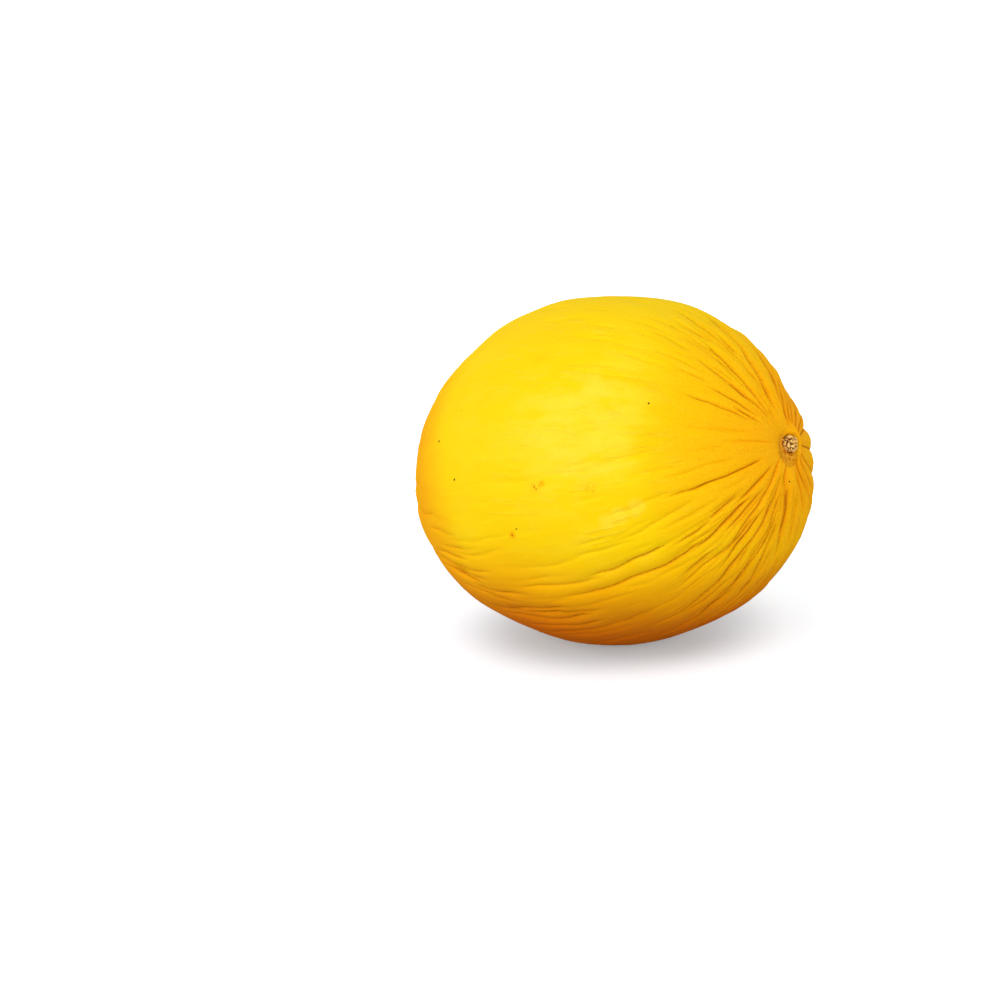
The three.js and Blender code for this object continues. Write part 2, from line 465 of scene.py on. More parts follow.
def back_furrows(seed: int = 7, blossom_furrows: int = 26) -> list[Furrow]:
    """The furrows of the sides that the front ones don't reach.

    Args:
        seed: Starts the random draws.
        blossom_furrows: How many faint ones run in from the blossom end.

    Returns:
        Main furrows at uneven distances up the back, with finer ones between them, and the
        faint ones from the blossom end.
    """
    draw = np.random.default_rng(seed)
    furrows = []
    for lane, depth, width in BACK_MAINS:
        start, end = draw.uniform(5, 9), draw.uniform(50, 84)
        furrows.append(Furrow(lane, start, end, depth, draw.uniform(-1, 1), width))
        begin = draw.uniform(12, 40) if lane > 360 else draw.uniform(40, 50)
        between = lane + draw.uniform(3.5, 6.0)
        length, shallow = draw.uniform(14, 34), draw.uniform(0.5, 1.0)
        furrows.append(Furrow(between, begin, begin + length, shallow))
        begin, length, shallow = draw.uniform(40, 70), draw.uniform(20, 40), draw.uniform(0.4, 0.8)
        furrows.append(Furrow(between, begin, begin + length, shallow))
    for _ in range(blossom_furrows):
        stop, lane = draw.uniform(150, 172), draw.uniform(0, 360)
        length, depth = draw.uniform(18, 46), draw.uniform(0.25, 0.6)
        furrows.append(Furrow(lane, stop - length, stop, depth))
    return furrows


@dataclass(frozen=True)
class Scatter:
    """Furrows of one kind, scattered at random: how many, and the spans of their sizes."""

    count: int
    start: Span
    length: Span
    depth: Span
    drift: Span
    width: Span
    lane: Span = (0, 360)


FINE_CREASES = Scatter(150, (6, 44), (6, 22), (0.2, 0.6), (-1, 1), (0.3, 0.5), (195, 420))
SHORT_WRINKLES = Scatter(340, (34, 132), (4, 11), (0.12, 0.42), (-1.5, 1.5), (0.35, 0.8))
BROAD_RIPPLES = Scatter(60, (40, 118), (12, 26), (0.3, 0.6), (-2.5, 2.5), (1.2, 2.4))


def calmer(start: float, calming: Span = (70.0, 110.0), loss: float = 0.6) -> float:
    """The share of its depth that a furrow keeps: less towards the smooth blossom end."""
    return 1.0 - loss * min(max((start - calming[0]) / (calming[1] - calming[0]), 0.0), 1.0)


def scattered(kinds: tuple[Scatter, ...], seed: int) -> list[Furrow]:
    """Furrows scattered along the lanes.

    Args:
        kinds: What is scattered, one kind after the other.
        seed: Starts the random draws.

    Returns:
        The furrows.
    """
    draw = np.random.default_rng(seed)
    furrows = []
    for kind in kinds:
        for _ in range(kind.count):
            start, length, depth, drift, width, lane = (
                draw.uniform(*span) for span in
                (kind.start, kind.length, kind.depth, kind.drift, kind.width, kind.lane))
            depth = depth * calmer(start)
            furrows.append(Furrow(lane, start, start + length, depth, drift, width))
    return furrows


def fine_creases(clear: Span = (305.0, 370.0)) -> list[Furrow]:
    """Fine sharp creases beside the main furrows near the stem, with none in the clear lanes."""
    return [replace(crease, lane=crease.lane + clear[1] - clear[0]) if crease.lane >= clear[0]
            else crease for crease in scattered((FINE_CREASES,), 5)]


# ---- the fruit's skin ----


@dataclass(frozen=True)
class Swell:
    """A broad rise or hollow of the body, in degrees and millimetres."""

    from_stem: float
    around: float
    spread: float
    height: float


@dataclass(frozen=True)
class FineLines:
    """Fine lines along the lanes: how fine across and along them, and their height."""

    across: float
    along: float
    height: float


@dataclass(frozen=True)
class FurrowShape:
    """How every furrow begins, wanders and ends, and its cross-section.

    It is a broad fold with a sharp line in it, and both get narrower where the girth is small.
    Sizes are millimetres and angles degrees, and the fades are shares of a length.
    """

    fade_length: float = 16.0
    fade_in: Span = (-0.1, 0.25)
    fade_out: Span = (0.6, 1.05)
    wander: float = 3.0
    wander_pace: float = 0.09
    wander_step: float = 7.3
    fold_girth: Span = (6.0, 45.0)
    fold_narrowing: Span = (0.4, 1.0)
    fold_width: float = 1.7
    fold_share: float = 1.2
    line_girth: Span = (6.0, 70.0)
    line_width: Span = (0.25, 0.5)
    line_share: float = 0.6
    # the painted shade in the crease line: its most, and how it grows with depth and fades along
    # the run
    darkest_crease_shade: float = 2.0
    dark_depth: Span = (0.15, 1.1)
    dark_run: Span = (30.0, 80.0)
    dark_share: Span = (1.0, 0.45)


@dataclass
class MelonSkin:
    """The whole outside of the fruit, made by one geometry node tree.

    Sizes are millimetres and angles degrees, and a dimple is its depth and its spread. Towards
    the blossom end the furrows keep the calm share of their depth. The tree builds the body round
    its own middle, with the stem along +X, and the finished mesh is then turned and set down in
    the frame.
    """

    radius: float
    slenderness: float = 1.156
    fullness: float = 0.022
    stem_drop: float = 6.5
    shoulder: float = 1.5
    shoulder_sharpness: float = 10.0
    pitch: float = 15.5
    ground_spot_depth: float = 2.5
    stem_dimple: Span = (2.2, 9.0)
    blossom_dimple: Span = (1.0, 8.0)
    socket_rim: Span = (3.6, 4.4)
    socket_depth: float = 1.4
    socket_aside: float = 0.6
    lane_offset: float = 5.0
    lane_offset_over: Span = (0.0, 12.0)
    lane_side: float = 165.0
    lane_turn: Span = (60.0, 130.0)
    blossom_offset: float = 11.0
    blossom_offset_over: Span = (0.0, 26.0)
    segments: int = 880
    rings: int = 112
    crowding: float = 1.6
    swells: tuple[Swell, ...] = (
        Swell(74, 78, 16, -2.0), Swell(110, 98, 20, 0.4), Swell(25, 10, 16, -1.2),
        Swell(50, 276, 22, 0.9), Swell(122, 238, 16, -2.5), Swell(22, 351, 12, 2.3),
        Swell(28, 302, 10, 0.9), Swell(33, 42, 7, 1.1), Swell(42, 54, 6, 0.9),
        Swell(80, 81, 5, -0.8), Swell(89, 92, 6, 0.4), Swell(98, 92, 5, -0.3),
        Swell(113, 103, 6, -0.5), Swell(128, 116, 8, 0.9), Swell(139, 126, 6, 0.5),
        Swell(148, 172, 16, 0.9),
    )
    furrow: FurrowShape = FurrowShape()
    deepest_furrow: float = 3.8
    pleated: Span = (45.0, 95.0)
    pleat_height: float = 0.9
    fine_lines: tuple[FineLines, ...] = (FineLines(13.0, 0.04, 0.45), FineLines(5.0, 0.06, 0.9))
    swell_noise: float = 2.2
    swell_height: float = 1.6
    calm_end: Span = (5.0, 26.0)
    calm_share: float = 0.25
    clear_of_stem: Span = (3.0, 7.0)
    clear_of_blossom: Span = (152.0, 172.0)
    scar_tilt: float = 25.0
    scar_reach: float = 11.0
    ring_radius: float = 3.2
    ring_width: float = 0.9
    ring_height: float = 0.5
    points: np.ndarray = field(init=False)
    centre: Vector = field(init=False)
    from_stem: np.ndarray = field(init=False)
    around: np.ndarray = field(init=False)

    @property
    def half_length(self) -> float:
        """Half of the length from the stem to the blossom end."""
        return self.radius * self.slenderness

    # -- the tree --

    def furrow_marks(self, furrows: list[Furrow]) -> Thing:
        """An object with one vertex for each furrow, which carries the furrow's sizes.

        Args:
            furrows: The furrows, in an order that also sets how each one wanders.

        Returns:
            The object.
        """
        mesh = bpy.data.meshes.new("melon_skin")
        mesh.vertices.add(len(furrows))
        for item in fields(Furrow):
            layer = mesh.attributes.new("furrow_" + item.name, "FLOAT", "POINT")
            layer.data.foreach_set("value", [getattr(furrow, item.name) for furrow in furrows])
        return add_thing("melon_skin", mesh)

    def ball(self, graph: Graph, segments: Value, rings: Value) -> Socket:
        """A ball of faces that stores the angle from the stem and around at each vertex.

        Args:
            graph: The skin's tree.
            segments: How many faces go around.
            rings: How many go from pole to pole, crowded towards the stem.

        Returns:
            The ball.
        """
        sizes = {"Segments": segments, "Rings": rings, "Radius": 1.0}
        sphere = graph.node("GeometryNodeMeshUVSphere", sizes).outputs["Mesh"]
        x, y, z = graph.split(graph.value("GeometryNodeInputPosition"))
        share = graph.math("ARCCOSINE", z) / math.pi
        around = graph.math("DEGREES", graph.math("ARCTAN2", y, x))
        skin = graph.store(sphere, Mark.FROM_STEM, share ** self.crowding * 180.0)
        return graph.store(skin, Mark.AROUND, graph.math("WRAP", around, 360.0, 0.0))

    def lanes(self, graph: Graph, from_stem: Value, around: Value) -> tuple[Value, Value]:
        """The lane of a place and how far it is along it.

        Args:
            graph: The skin's tree.
            from_stem: The angle from the stem.
            around: The angle around the fruit.

        Returns:
            The lane, which passes on the way from a fan beside the stem to one over the blossom
            end, and the run from the first fan's middle.
        """
        shift = graph.smooth(from_stem, *self.lane_offset_over) * self.lane_offset
        side = math.radians(self.lane_side)
        across = from_stem * graph.cos(around) - shift * math.cos(side)
        over = from_stem * graph.sin(around) - shift * math.sin(side)
        run = graph.hypotenuse(across, over)
        rest = 180.0 - from_stem
        far_shift = graph.smooth(rest, *self.blossom_offset_over) * self.blossom_offset
        far_across, far_over = rest * graph.cos(around), rest * graph.sin(around) - far_shift
        far_run = graph.hypotenuse(far_across, far_over)
        far = graph.smooth(from_stem, *self.lane_turn)
        turn_across = across / run * (1.0 - far) + far_across / far_run * far
        turn_over = over / run * (1.0 - far) + far_over / far_run * far
        lane = graph.math("DEGREES", graph.math("ARCTAN2", turn_over, turn_across))
        return graph.math("WRAP", lane, 360.0, 0.0), run

    def one_furrow(self, graph: Graph, marks: Value, turn: Value) -> tuple[Value, Value]:
        """How one furrow presses the rind at every vertex, and how much painted shade its line
        gets.

        Args:
            graph: The skin's tree.
            marks: The vertices that carry the furrows' sizes.
            turn: The furrow's number.

        Returns:
            The depth in millimetres and the painted shade of the crease line.
        """
        shape, run = self.furrow, graph.read(Mark.RUN)
        sizes = ({"Geometry": marks, "Value": graph.attribute("furrow_" + item.name), "Index": turn}
                 for item in fields(Furrow))
        lane, start, end, depth, drift, width = (
            graph.value("GeometryNodeSampleIndex", size, data_type="FLOAT") for size in sizes)
        share = (run - start) / (end - start)
        begun = (run - start) / graph.least(end - start, shape.fade_length)
        strength = graph.smooth(begun, *shape.fade_in) * graph.fade(share, *shape.fade_out)
        wave = graph.wave(run * shape.wander_pace + turn * shape.wander_step) - 0.5
        middle = lane + drift * share + wave * shape.wander
        off = graph.math("WRAP", graph.read(Mark.LANE) - middle, 180.0, -180.0)
        girth = graph.sin(graph.read(Mark.FROM_STEM)) * self.radius
        distance = graph.math("ABSOLUTE", graph.math("RADIANS", off) * girth)
        narrowing = graph.spread(girth, shape.fold_girth, shape.fold_narrowing)
        broad = width * narrowing * shape.fold_width
        fold = graph.math("EXPONENT", -(distance / broad)) * strength
        thin = graph.spread(girth, shape.line_girth, shape.line_width)
        line = graph.bell(distance, thin) * strength
        # painted shade in the crease line, more for deep narrow furrows, less far from the stem
        tint = graph.spread(run, shape.dark_run, shape.dark_share)
        tint = graph.smooth(depth, *shape.dark_depth) * tint
        crease_shade = graph.least(depth / width, shape.darkest_crease_shade) * line * tint
        return depth * (line * shape.line_share + fold * shape.fold_share), crease_shade

    def press_furrows(self, graph: Graph, skin: Socket, marks: Value) -> Socket:
        """Adds up, at every vertex, how deep each furrow in turn presses the rind, and its crease's
        painted shade.

        Args:
            graph: The skin's tree.
            skin: The ball of faces with its angles stored.
            marks: The vertices that carry the furrows' sizes.

        Returns:
            The ball with the depth and the painted shade of the crease lines stored.
        """
        size = graph.node("GeometryNodeAttributeDomainSize", {"Geometry": marks})
        begin = graph.node("GeometryNodeRepeatInput", {"Iterations": size.outputs["Point Count"]})
        finish = graph.node("GeometryNodeRepeatOutput")
        begin.pair_with_output(finish)
        graph.put(begin.inputs["Geometry"], skin)
        depth, crease_shade = self.one_furrow(graph, marks, Value(graph, begin.outputs["Iteration"]))
        skin = begin.outputs["Geometry"]
        for mark, more in ((Mark.FURROW, depth), (Mark.CREASE, crease_shade)):
            skin = graph.store(skin, mark, graph.read(mark) + more)
        graph.put(finish.inputs["Geometry"], skin)
        return finish.outputs["Geometry"]

    def swelling(self, graph: Graph, way: Value) -> Value:
        """How far the broad swells lift the skin.

        Args:
            graph: The skin's tree.
            way: The direction from the body's middle.

        Returns:
            The lift in millimetres.
        """
        total: Operand = 0.0
        for swell in self.swells:
            stem, around = math.radians(swell.from_stem), math.radians(swell.around)
            side = math.sin(stem)
            middle = (math.cos(stem), side * math.cos(around), side * math.sin(around))
            cosine = graph.vectors("DOT_PRODUCT", way, middle, output="Value")
            away = graph.math("DEGREES", graph.math("ARCCOSINE", cosine))
            total = graph.bell(away, swell.spread) * swell.height + total
        return total

    def unevenness(self, graph: Graph, lane: Value, run: Value, way: Value) -> Value:
        """The rind's small unevenness: fine lines along the lanes, dents and soft swells.

        Args:
            graph: The skin's tree.
            lane: The lane at each vertex.
            run: How far along it.
            way: The direction from the body's middle.

        Returns:
            The lift in millimetres.
        """
        across, over = graph.cos(lane), graph.sin(lane)
        stretched: Operand = 0.0
        for lines in self.fine_lines:
            place = graph.vector(across * lines.across, over * lines.across, run * lines.along)
            stretched = (graph.noise(place, 1.0) - 0.5) * lines.height + stretched
        swells = (graph.noise(way, self.swell_noise, 1.0) - 0.5) * self.swell_height
        pleats = graph.fade(run, *self.pleated) * self.pleat_height
        return stretched * graph.fade(run, *self.clear_of_blossom) + swells + pleats

    def socket(self, graph: Graph, from_stem: Value, around: Value) -> Value:
        """The hollow that holds the stub, a little aside from the pole.

        Args:
            graph: The skin's tree.
            from_stem: The angle from the stem.
            around: The angle around the fruit.

        Returns:
            1 in the hollow and 0 outside it.
        """
        girth = graph.sin(from_stem) * self.radius
        across, over = girth * graph.cos(around) - self.socket_aside, girth * graph.sin(around)
        inside = graph.fade(graph.hypotenuse(across, over), *self.socket_rim)
        return inside * graph.math("LESS_THAN", from_stem, 90.0)

    def blossom_scar(self, graph: Graph, girth: Value) -> Value:
        """How far the corky ring and point that the flower left stand out of its dimple."""
        ring = graph.bell(girth - self.ring_radius, self.ring_width)
        return (ring + graph.bell(girth, self.ring_width)) * self.ring_height

    def body_place(self, graph: Graph, from_stem: Value, around: Value, lift: Value) -> Value:
        """The place of a vertex on the body.

        Args:
            graph: The skin's tree.
            from_stem: The angle from the stem.
            around: The angle around the fruit.
            lift: How far it is moved out along the body's normal.

        Returns:
            The place in millimetres.
        """
        along, side = graph.cos(from_stem), graph.sin(from_stem)
        across, over = graph.cos(around), graph.sin(around)
        stemward = graph.most(along, 0.0)
        girth = side * (along * self.fullness + 1.0) * self.radius
        stem_end = graph.math("GREATER_THAN", along, 0.0)
        depth, spread = self.stem_dimple
        dimple = graph.bell(girth, spread) * depth * stem_end
        depth, spread = self.blossom_dimple
        bottom = graph.bell(girth, spread) * depth - self.blossom_scar(graph, girth)
        bottom = bottom * (1.0 - stem_end)
        socket = graph.read(Mark.SOCKET) * self.socket_depth
        slope = math.tan(math.radians(self.scar_tilt))
        slant = girth * across * graph.bell(girth, self.scar_reach) * stem_end * slope
        end = along * self.half_length + stemward ** self.shoulder_sharpness * self.shoulder
        x = end - dimple - socket + bottom + slant
        z = girth * over - stemward * stemward * self.stem_drop
        outward = graph.vector(along / self.half_length, side * across / self.radius,
                               side * over / self.radius)
        lifted = graph.scale(graph.vectors("NORMALIZE", outward), lift)
        return graph.vectors("ADD", graph.vector(x, girth * across, z), lifted)

    def tree(self, finish: Material) -> Tree:
        """Builds the skin's tree: its angles and lanes, its furrows, then each vertex's place.

        Args:
            finish: The rind's material.

        Returns:
            The tree.
        """
        takes = {"Furrow marks": "Geometry", "Segments": "Int", "Rings": "Int",
                 "Deepest furrow": "Float"}
        graph = new_tree("Melon skin", "Geometry", takes, {"Skin": "Geometry"})
        given = graph.given()
        skin = self.ball(graph, given["Segments"], given["Rings"])
        from_stem, around = graph.read(Mark.FROM_STEM), graph.read(Mark.AROUND)
        lane, run = self.lanes(graph, from_stem, around)
        socket = self.socket(graph, from_stem, around)
        for mark, value in ((Mark.LANE, lane), (Mark.RUN, run), (Mark.SOCKET, socket)):
            skin = graph.store(skin, mark, value)
        skin = self.press_furrows(graph, skin, given["Furrow marks"])
        deepest = given["Deepest furrow"]
        calm = graph.smooth(180.0 - from_stem, *self.calm_end)
        calm = calm * (1.0 - self.calm_share) + self.calm_share
        pressed = graph.math("TANH", graph.read(Mark.FURROW) / deepest) * deepest * calm
        skin = graph.store(skin, Mark.FURROW, pressed)
        fan = graph.vector(graph.cos(lane), graph.sin(lane), run)
        skin = graph.store(skin, Mark.FAN, fan, "FLOAT_VECTOR")
        lane, run, side = graph.read(Mark.LANE), graph.read(Mark.RUN), graph.sin(from_stem)
        way = graph.vector(graph.cos(from_stem), side * graph.cos(around), side * graph.sin(around))
        rise = self.swelling(graph, way) + self.unevenness(graph, lane, run, way)
        lift = (rise - graph.read(Mark.FURROW)) * graph.smooth(from_stem, *self.clear_of_stem)
        place = self.body_place(graph, from_stem, around, lift)
        return graph.finish_shape(skin, place, finish, "Skin")

    # -- the mesh --

    def build(self, finish: Material) -> Thing:
        """Makes the skin, turns it to its lie and sets it down where the CAD fruit is.

        Args:
            finish: The rind's material.

        Returns:
            The finished skin, with its foot pressed flat on the floor.
        """
        furrows = [*FRONT_FURROWS, *back_furrows(), *fine_creases(),
                   *scattered((SHORT_WRINKLES, BROAD_RIPPLES), 21)]
        sizes = {"Segments": self.segments, "Rings": self.rings,
                 "Deepest furrow": self.deepest_furrow}
        skin = run_tree(self.furrow_marks(furrows), self.tree(finish), sizes)
        turn = np.array(Matrix.Rotation(math.radians(-self.pitch), 3, "Y"))
        turned = read_points(skin) @ turn.T
        low, high = (np.array(corner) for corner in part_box("melon"))
        shift = (low + high) / 2 - (turned.min(0) + turned.max(0)) / 2
        shift[2] = low[2] - turned[:, 2].min() - self.ground_spot_depth * MM
        self.centre = Vector(shift)
        self.points = turned + np.array(self.centre)
        self.points[:, 2] = np.maximum(self.points[:, 2], low[2])
        write_points(skin, self.points)
        self.from_stem = read_numbers(skin, Mark.FROM_STEM)
        self.around = read_numbers(skin, Mark.AROUND)
        return skin

    def spot(self, from_stem: float, around: float) -> Vector:
        """The place on the finished skin at two angles.

        Args:
            from_stem: The angle from the stem.
            around: The angle around the fruit.

        Returns:
            The nearest vertex's place.
        """
        turn = (self.around - around + 180.0) % 360.0 - 180.0
        away = (self.from_stem - from_stem) ** 2 + (turn * np.sin(np.radians(self.from_stem))) ** 2
        return Vector(self.points[int(np.argmin(away))])


# ---- finishes ----


def plain_material(name: str) -> tuple[Material, Graph, Node]:
    """The named material, new or already made.

    Args:
        name: Its name.

    Returns:
        The material, its graph and its Principled shader.
    """
    material = bpy.data.materials.get(name) or bpy.data.materials.new(name)
    material.use_nodes = True
    return material, Graph(material.node_tree), material.node_tree.nodes["Principled BSDF"]


def cork_grain(graph: Graph, size: float) -> tuple[Value, Value]:
    """Gives a material the granular look of dry cork, from one shared node group.

    Args:
        graph: The material's graph.
        size: The size of a grain, in metres.

    Returns:
        The tone and the height of the grains.
    """
    tree = bpy.data.node_groups.get("Cork grain")
    if not tree:
        gives = {"Tone": "Float", "Height": "Float"}
        inside = new_tree("Cork grain", "Shader", {"Grain size": "Float"}, gives)
        tree = inside.tree
        grain = inside.math("DIVIDE", 1.0, inside.given()["Grain size"])
        place = inside.scale(inside.value("ShaderNodeTexCoord", output="Object"), grain)
        grains = inside.cells(place, 1.0, "SMOOTH_F1")
        tone = inside.noise(place, 0.45, 3.0, 0.6) + (0.5 - grains) * 0.5
        outputs = {"Tone": inside.smooth(tone, 0.3, 0.75), "Height": 1.0 - grains}
        inside.node("NodeGroupOutput", outputs)
    group = graph.node("ShaderNodeGroup", {"Grain size": size}, node_tree=tree)
    return Value(graph, group.outputs["Tone"]), Value(graph, group.outputs["Height"])


class BlemishKind(Enum):
    """What a mark on the rind looks like."""

    SPECK = "speck"
    SCUFF = "scuff"
    STAIN = "stain"


@dataclass(frozen=True)
class Blemish:
    """One mark on the rind: its place in degrees and its radius in millimetres."""

    from_stem: float
    around: float
    radius: float
    kind: BlemishKind = BlemishKind.SPECK
    strength: float = 1.0


@dataclass(frozen=True)
class Cover:
    """How much each layer of the rind's colour covers what is below it, at most."""

    # layers of painted light or shade: the highlight on the crests near the stem, round its spot,
    # on the ripples and in the streaks beside a furrow; the shade low on the sides, in the furrows'
    # valleys, in the crease lines and in the socket. The orange and the pale wisps are partly
    # painted.
    orange: float = 0.85
    crest_highlight: float = 0.12
    blossom: float = 0.9
    pale: float = 0.12
    painted_highlight: float = 0.42
    low_side_shade: float = 0.95
    resting: float = 0.55
    ripple_highlight: float = 0.2
    lobe: float = 0.25
    painted_shine: float = 0.4
    valley_shade_and_grain: float = 0.65
    crease: float = 0.72
    dot: float = 0.55
    halo: float = 0.9
    socket: float = 0.8
    scar: float = 0.9
    pore: float = 0.05
    granule: float = 0.36


@dataclass(frozen=True)
class RindFinish:
    """Satin, waxy yellow rind, deeper at the stem end, partly its own colour and partly painted
    shade; painted shade in the furrows, the crease lines, low on the sides and in the socket;
    painted highlights on the upper middle.

    A span is degrees from the stem, but a height span is metres above the floor, a depth span
    millimetres into the rind, and an edge or point span millimetres from its spot. A spot is a
    pair of degrees. The relief's heights are metres.
    """

    lemon: Colour = linear(254, 212, 5)
    golden: Colour = linear(253, 202, 2)
    orange: Colour = linear(252, 171, 1)
    # painted shade: a deeper orange-brown low on the sides
    low_side_shade: Colour = linear(212, 106, 1)
    # pale bloom of the rind, also used for painted highlights
    pale: Colour = linear(255, 226, 70)
    resting: Colour = linear(250, 214, 92)
    # painted shade in the furrows' broad valleys; the pores' grain takes this colour too
    valley_shade_and_grain: Colour = linear(242, 150, 1)
    # painted shade in the crease lines, and deeper still low on the fruit
    crease: Colour = linear(156, 74, 2)
    deep_crease_shade: Colour = linear(92, 32, 4)
    halo: Colour = linear(192, 88, 10)
    flecks: Colour = linear(252, 190, 46)
    stain: Colour = linear(206, 120, 4)
    speck: Colour = linear(70, 38, 6)
    # painted shade inside the socket round the stub
    socket: Colour = linear(140, 62, 10)
    cover: Cover = Cover()
    roughness: float = 0.5
    grazing_roughness: float = 0.6
    grain_size: float = 0.0008
    grain_height: float = 0.0005
    pore_height: float = 0.00006
    granule_height: float = 0.00024
    ripple_height: float = 0.0002
    zone_raggedness: float = 20.0
    height_raggedness: float = 0.024
    # how shallow the furrows are where the crests get a painted highlight, and how deep where the
    # valleys get painted shade
    crest_highlight_depth: Span = (0.1, 1.1)
    valley_shade_depth: Span = (0.7, 3.0)
    # the band along the middle of the body that gets painted light
    painted_light_from: Span = (36.0, 66.0)
    painted_light_until: Span = (104.0, 132.0)
    # heights for painted light and shade: lemon and pale above the side height, less orange above
    # the top height, painted shade below the low and shaded heights; the foot height is the pale
    # ground spot, the rind's own
    side_height: Span = (0.038, 0.072)
    top_height: Span = (0.1, 0.14)
    low_shade_height: Span = (0.014, 0.052)
    foot_height: Span = (-0.012, 0.012)
    shaded_height: Span = (0.025, 0.06)
    stem_end: Span = (9.0, 58.0)
    blossom_end: Span = (113.0, 138.0)
    blossom_tip: Span = (146.0, 170.0)
    granular: Span = (14.0, 60.0)
    rippled_from: Span = (30.0, 50.0)
    rippled_until: Span = (84.0, 112.0)
    rippled_height: Span = (0.045, 0.08)
    # the middle and the edge of the painted highlight
    painted_highlight_spot: Span = (65.0, 156.0)
    painted_highlight_edge: Span = (14.0, 48.0)
    lobe_spot: Span = (15.0, 335.0)
    lobe_edge: Span = (7.0, 16.0)
    # spots of painted highlight in streaks beside a furrow
    painted_shine_spots: tuple[Span, ...] = ((66.0, 187.8), (62.0, 186.9), (58.5, 185.8))
    painted_shine_edge: Span = (1.6, 5.2)
    halo_spot: Span = (3.2, 205.0)
    halo_edge: Span = (5.2, 8.4)
    scar_spot: Span = (180.0, 0.0)
    ring_radius: float = 3.2
    ring_width: float = 1.1
    scar_point: Span = (0.4, 1.4)
    blemishes: tuple[Blemish, ...] = (
        Blemish(49.5, 147.4, 0.5), Blemish(117.8, 147.7, 0.65), Blemish(112.3, 163.7, 0.65),
        Blemish(92.7, 183.6, 0.45), Blemish(12.6, 239.0, 0.45), Blemish(63, 20, 0.6),
        Blemish(121, 352, 0.6), Blemish(96, 60, 0.5), Blemish(82.2, 172.2, 1.9, BlemishKind.SCUFF),
        Blemish(81.6, 171.4, 0.9, BlemishKind.STAIN, 0.8), Blemish(84, 325, 2.8, BlemishKind.SCUFF),
        Blemish(68, 176, 2.4, BlemishKind.SCUFF, 0.25),
        Blemish(81, 130, 2.2, BlemishKind.SCUFF, 0.25),
        Blemish(94.8, 185.2, 1.1, BlemishKind.STAIN), Blemish(133, 40, 1.2, BlemishKind.STAIN, 0.7),
    )

    def colour(self, graph: Graph, place: Value, clouds: Value, painted_highlight: Vector) -> Value:
        """The rind's broad colour, before creases and marks, with painted light high up and painted
        shade low down.

        Args:
            graph: The material's graph.
            place: The place on the surface.
            clouds: Broad noise.
            painted_highlight: The middle of the painted highlight.

        Returns:
            The colour.
        """
        from_stem, cover = graph.carried(Mark.FROM_STEM), self.cover
        streaks = graph.along_lanes(7.0, 0.05)
        ragged = from_stem + (streaks - 0.5) * self.zone_raggedness
        # painted light: the middle band of the body is made more lemon and pale
        painted_light_band = graph.band(from_stem, self.painted_light_from, self.painted_light_until)
        height = graph.split(place)[2] + (clouds - 0.5) * self.height_raggedness
        # painted light and shade by height: lemon and pale wisps kept high on the sides, orange
        # laid low down
        high = graph.smooth(height, *self.side_height)
        lemony = graph.smooth(clouds * 0.5 + streaks * 0.35 + painted_light_band * 0.35, 0.45, 0.75) * high
        # painted light: less of the stem end's orange high on the top
        low = 1.0 - graph.smooth(height, *self.top_height) * 0.42
        near_stem = graph.fade(ragged, *self.stem_end) * low
        # the stem end's orange is partly the rind's own and partly painted shade; the orange low on
        # the sides is painted shade
        orange = graph.most(near_stem, (1.0 - high) * 0.8)
        # painted highlight: a lighter colour on the crests near the stem, where the furrows are
        # shallow
        crest_highlight = graph.fade(graph.carried(Mark.FURROW), *self.crest_highlight_depth) * near_stem
        tip = 1.0 - graph.smooth(from_stem, *self.blossom_tip) * 0.35
        near_blossom = graph.smooth(ragged, *self.blossom_end) * tip
        # painted highlight round its spot; the wisps elsewhere are partly the rind's pale bloom
        zone = graph.fade(graph.reach(place, painted_highlight), *self.painted_highlight_edge)
        wisps = graph.along_lanes(9.0, 0.09) * 0.55 + clouds * 0.45 + zone * 0.08
        pale = graph.smooth(wisps, 0.47, 0.68) * painted_light_band * high
        return graph.layers(
            self.golden, (lemony, self.lemon), (orange * cover.orange, self.orange),
            (crest_highlight * cover.crest_highlight, self.golden), (near_blossom * cover.blossom, self.orange),
            (pale * (zone * cover.painted_highlight + cover.pale), self.pale),
            # painted shade low on the sides, then the pale ground spot that the fruit rests on
            (graph.fade(height, *self.low_shade_height) * cover.low_side_shade, self.low_side_shade),
            (graph.fade(height, *self.foot_height) * cover.resting, self.resting))

    def dots(self, graph: Graph, place: Value, scale: float, rim: Span, empty: float) -> Value:
        """Dots in some of the cells of a fine pattern.

        Args:
            graph: The material's graph.
            place: The place on the surface.
            scale: How many cells go into a metre.
            rim: Where a dot ends, as a share of a cell.
            empty: The share of the cells that stay empty.

        Returns:
            1 in the dots and 0 between them.
        """
        lot = graph.split(graph.cells(place, scale, output="Color"))[0]
        return graph.fade(graph.cells(place, scale), *rim) * graph.math("GREATER_THAN", lot, empty)

    def ripples(self, graph: Graph, height: Value) -> Value:
        """Short fine ripples along the lanes, in patches on the upper side.

        Args:
            graph: The material's graph.
            height: The height of the place.

        Returns:
            0 between the ripples and 1 on top of them.
        """
        fine = graph.smooth(graph.along_lanes(42.0, 0.15, 2.0, 0.55), 0.5, 0.68)
        patches = graph.smooth(graph.along_lanes(6.0, 0.06, 2.0, 0.5), 0.42, 0.62)
        middle = graph.band(graph.carried(Mark.FROM_STEM), self.rippled_from, self.rippled_until)
        return fine * patches * middle * graph.smooth(height, *self.rippled_height)

